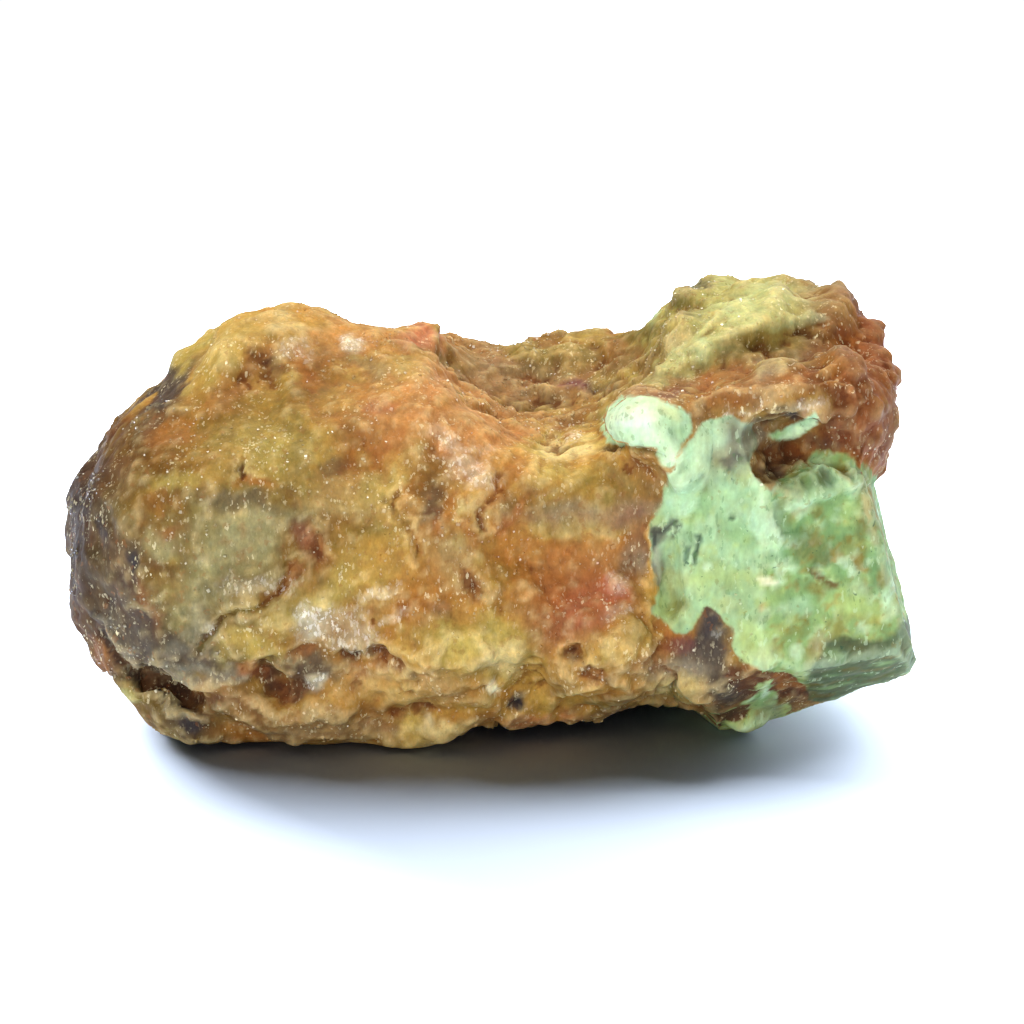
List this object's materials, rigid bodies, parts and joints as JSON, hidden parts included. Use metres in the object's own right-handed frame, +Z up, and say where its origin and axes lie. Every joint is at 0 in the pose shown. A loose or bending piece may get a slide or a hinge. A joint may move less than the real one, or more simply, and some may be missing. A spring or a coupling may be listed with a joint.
{
  "type": "raw fluorite",
  "caption": "Rough lump of honey, rust and mint green fluorite with a rounded undercut end, a saddle and a block of flat cleavage faces.",
  "frame": {"origin": "on the resting plane, under the middle of the stone's bounding box", "axes": "+X along the stone towards the green block, +Y towards the broken back, +Z up"},
  "size_m": [0.05, 0.026, 0.025],
  "materials": {
    "fluorite": "glossy, translucent, honey to mint green"
  },
  "bodies": {
    "root": {"fluorite_stone": "fluorite"}
  },
  "joints": []
}
